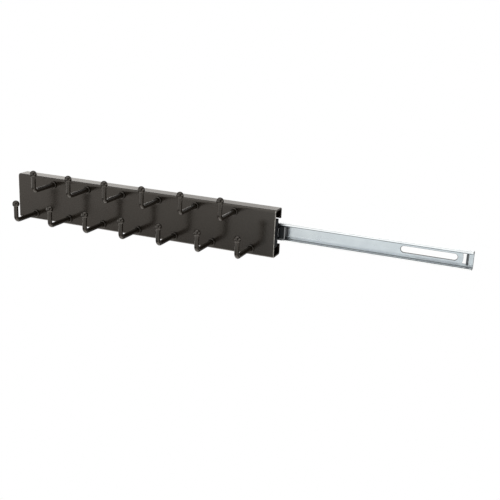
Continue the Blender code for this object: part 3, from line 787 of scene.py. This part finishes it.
def block_mesh(name, low, high, fillet, steps=5):
    """Rounded block: a rectangle in (y, z) with quarter circle corners, carried along x. At the
    ends it shrinks by fillet * (1 - cos t) while x runs on by fillet * sin t."""
    low, high = np.asarray(low), np.asarray(high)
    quarter = np.linspace(0.0, np.pi / 2, steps)
    start = np.arange(4) * np.pi / 2
    turn = (quarter[None, :] + start[:, None]).reshape(-1)
    diagonal = np.stack([np.cos(start + np.pi / 4), np.sin(start + np.pi / 4)], axis=1)
    signs = np.sign(diagonal).repeat(steps, axis=0)
    middle, half = (low + high)[1:] / 2, (high - low)[1:] / 2
    shrink = fillet * (1 - np.cos(quarter))
    along = fillet * np.sin(quarter)
    x = np.concatenate([low[0] + fillet - along[::-1], high[0] - fillet + along])
    inset = np.concatenate([shrink[::-1], shrink])[:, None, None]
    arms = np.stack([np.cos(turn), np.sin(turn)], axis=1)
    flat = middle + signs * (half - fillet) + arms * (fillet - inset)
    count = flat.shape[1]
    places = np.broadcast_to(x[:, None, None], (len(x), count, 1))
    points = np.concatenate([places, flat], axis=2)
    faces = grid_quads(len(x), count, around=True).tolist()
    faces += [list(range(count)), list(range((len(x) - 1) * count, len(x) * count))]
    return mesh_from(name, points.reshape(-1, 3), faces)


low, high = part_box("rail_spacer")
spacer = block_mesh("spacer_bar", low, high, SPACER_ROUND)
add_piece(spacer, MATT_BLACK, "rack", ["rail_spacer"])
low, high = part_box("rail_bumper")
step = high.x - BUMPER_HEAD
head = block_mesh("bumper_block", (step, low.y, low.z), high, HEAD_ROUND)
plug = block_mesh("bumper_plug", (low.x, PLUG_NEAR, -PLUG_HALF),
                  (step + PLUG_OVERLAP, PLUG_FAR, PLUG_HALF), PLUG_ROUND)
bumper = shaped(head, "UNION", plug)
# The bumper's finish carries a painted grey highlight on its right and lower front edges
add_piece(bumper, BLACK_PAINTED_HIGHLIGHT, "rack", ["rail_bumper"])
print(f"bumper: head {BUMPER_HEAD / MM:.1f} mm thick, {len(bumper.polygons)} faces")


# %% [markdown]
# ## The ball cage
# The retainer is a thin black channel that keeps the balls apart. Each ball sits in a round notch
# that is open towards the front, and rolls between the wall rail's groove and the rack rail's lip.
# The notches of a pair lie one above the other, so one upright cylinder cuts both.

# %% Retainer and balls
low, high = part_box("ball_retainer")
CAGE_WALL, CAGE_BEND = 0.8 * MM, 1.0 * MM
web, finger, leg = high.y - CAGE_WALL / 2, low.y, high.z - CAGE_WALL / 2
section = [(finger, leg), (web, leg), (web, -leg), (finger, -leg)]
cage = sheet_mesh("cage_channel", section, CAGE_WALL, CAGE_BEND, low.x, high.x)
notches = []
for number in range(1, 6):
    low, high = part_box(f"ball_upper_{number}")
    x, y, z = (low + high) / 2
    radius = (high.z - low.z) / 2
    wide, tall = radius + SEAT, 2 * z
    notch = [(0.0, -tall), (wide, -tall), (wide, tall), (0.0, tall)]
    notches.append(turned_mesh(f"notch_{number}", notch, (x, y, 0.0), sides=24))
    sphere = arc((0.0, 0.0), radius, 90.0, -90.0, 21)
    for row, height in (("upper", z), ("lower", -z)):
        ball = turned_mesh(f"steel_ball_{row}_{number}", sphere, (x, y, height))
        add_piece(ball, STEEL, "ball_cage", [f"ball_{row}_{number}"])
cage = shaped(cage, "DIFFERENCE", *notches)
add_piece(cage, SATIN_BLACK, "ball_cage", ["ball_retainer"])
print("ball cage: 10 balls in", len(notches), "pairs of notches")


# %% [markdown]
# ## Floor and backdrop
# The picture is a studio one, and its background is pure white, as over a light table with a white
# sweep around it. Both glow by themselves, because a lit white floor would come out grey and carry
# a shadow. They are kept out of mirror images, so that the gloss shows the lamps alone.

# %% Floor and backdrop
FLOOR_HALF, FLOOR_HEIGHT = 14.0, -1.6
SWEEP_RADIUS, SWEEP_FOOT = 12.0, -2.0
BLACK, WHITE = (0.0, 0.0, 0.0, 1.0), (1.0, 1.0, 1.0, 1.0)


def floor_mesh(name, half, height):
    """Square floor, a grid of two by two points."""
    side = np.array([-half, half])
    x, y = np.meshgrid(side, side)
    points = np.stack([x, y, np.full((2, 2), height)], axis=-1).reshape(-1, 3)
    return mesh_from(name, points, grid_quads(2, 2).tolist())


pale, tree, shader = new_finish("white_acrylic")
shader.inputs["Roughness"].default_value = 0.9
shader.inputs["Base Color"].default_value = BLACK
shader.inputs["Specular IOR Level"].default_value = 0.0
shader.inputs["Emission Color"].default_value = WHITE
shader.inputs["Emission Strength"].default_value = 1.0
floor = bpy.data.objects.new("light_table", floor_mesh("light_table", FLOOR_HALF, FLOOR_HEIGHT))
bpy.context.scene.collection.objects.link(floor)
floor.data.materials.append(pale)
floor.visible_glossy = False
dome = arc((0.0, SWEEP_FOOT), SWEEP_RADIUS, 90.0, 0.0, 13)
dome[0, 0] = 0.0  # the top lies on the axis, so the dome isn't joined to itself
sweep = bpy.data.objects.new("white_sweep", turned_mesh("white_sweep", dome, (0.0, 0.0, 0.0)))
bpy.context.scene.collection.objects.link(sweep)
sweep.data.materials.append(pale)
sweep.visible_glossy = sweep.visible_diffuse = sweep.visible_shadow = False
print(f"floor at {FLOOR_HEIGHT:.1f} m, with a sweep {SWEEP_RADIUS:.0f} m round it")


# %% [markdown]
# ## Light
# Glossy paint and plating show mostly what they mirror, so the lamps are shaped by the picture's
# gloss. The panel's top mirrors the backdrops, bright on the left and dim on the right. The plate
# mirrors the big lamp in front. A narrow cool lamp is for the rail, and lamps to the right, low
# down and below lift the hooks' sides. Each softbox is a rectangle of even brightness. A lamp's
# power spreads over its area and over a half space, so the power that gives a wanted brightness is
# brightness times pi times area. One picture of a studio around the scene would do as well, but
# lamps can be moved one by one.

# %% Room and softboxes
RACK_MIDDLE = Vector((-0.15, 0.0, 0.0))
ROOM_LIGHT = 0.15
WARM, COOL, NEUTRAL = (1.0, 0.965, 0.915), (0.76, 0.93, 1.0), (1.0, 1.0, 1.0)
BEHIND = Vector((0.0, 1.0, 0.0))
# Name, centre, width, height, brightness, tint, and which way the back points if not from the rack
LAMPS = [
    ("backdrop_left", (-3.4, 3.4, 0.05), 2.4, 2.7, 1.35, WARM, BEHIND),
    ("backdrop_middle", (-1.2, 3.4, 0.05), 2.0, 2.7, 1.05, WARM, BEHIND),
    ("backdrop_rail", (-0.65, 3.35, 1.0), 1.2, 1.3, 0.8, NEUTRAL, BEHIND),
    ("backdrop_right", (1.1, 3.4, 0.05), 2.6, 2.7, 0.25, WARM, BEHIND),
    ("left_softbox", (-3.4, 0.0, -0.2), 3.6, 1.9, 1.0, WARM),
    ("front_softbox", (-1.7, -2.8, 0.73), 4.6, 3.74, 0.84, WARM),
    ("rail_softbox", (-0.42, -2.8, 0.5), 1.35, 4.2, 0.42, COOL),
    ("low_right_softbox", (2.0, -2.2, -1.1), 4.4, 1.9, 0.70, WARM),
    ("right_softbox", (3.0, 0.2, 0.6), 4.4, 2.4, 1.3, WARM),
    ("top_softbox", (-0.4, -0.2, 2.7), 3.0, 4.0, 1.3, WARM),
    ("table_bounce", (-0.15, -0.2, -1.55), 3.0, 2.4, 1.25, WARM),
]


def softbox(name, centre, width, height, brightness, tint, back=None):
    """Rectangular lamp, as bright in a mirror as the number says. It faces the rack, unless the
    way that its back points is given. The camera doesn't see it."""
    lamp = bpy.data.lights.new(name, "AREA")
    lamp.shape = "RECTANGLE"
    lamp.size, lamp.size_y = width, height
    lamp.energy = brightness * np.pi * width * height
    lamp.color = tint
    box = bpy.data.objects.new(name, lamp)
    bpy.context.scene.collection.objects.link(box)
    box.location = centre
    away = Vector(centre) - RACK_MIDDLE if back is None else back
    box.rotation_euler = away.to_track_quat("Z", "Y").to_euler()
    box.visible_camera = False


world = bpy.data.worlds.new("dim_room")
bpy.context.scene.world = world
world.use_nodes = True
room = world.node_tree.nodes["Background"]
room.inputs["Color"].default_value = WHITE
room.inputs["Strength"].default_value = ROOM_LIGHT
for lamp in LAMPS:
    softbox(*lamp)
bpy.context.scene.view_settings.view_transform = "Standard"
print("lamps:", len(bpy.data.lights))


# %% [markdown]
# ## Camera
# The camera was found from the photograph: the panel's corners, the hooks' ends and the rail's
# edges fix where it stood, how it was turned and its angle of view. It stands to the right and
# looks down a little. Its three directions are the columns of its matrix, with down and ahead
# turned round, because a camera in Blender looks along its own -Z with Y up.

# %% Camera
CAMERA_AT = np.array([251.33, -900.46, 268.56]) * MM
CAMERA_RIGHT = np.array([0.922634, 0.38314, 0.044151])
CAMERA_DOWN = np.array([0.152135, -0.25636, -0.954534])
CAMERA_AHEAD = np.array([-0.354402, 0.887403, -0.294815])
SENSOR_MM, LENS_MM, NEAREST = 36.0, 60.865, 0.01
lens = bpy.data.cameras.new("camera")
lens.sensor_width = SENSOR_MM
lens.lens = LENS_MM
lens.clip_start = NEAREST
camera = bpy.data.objects.new("camera", lens)
bpy.context.scene.collection.objects.link(camera)
turned = np.eye(4)
turned[:3, :3] = np.stack([CAMERA_RIGHT, -CAMERA_DOWN, -CAMERA_AHEAD], axis=1)
turned[:3, 3] = CAMERA_AT
camera.matrix_world = Matrix(turned.tolist())
bpy.context.scene.camera = camera
print("camera at", np.round(CAMERA_AT, 3), "m, lens", LENS_MM, "mm")
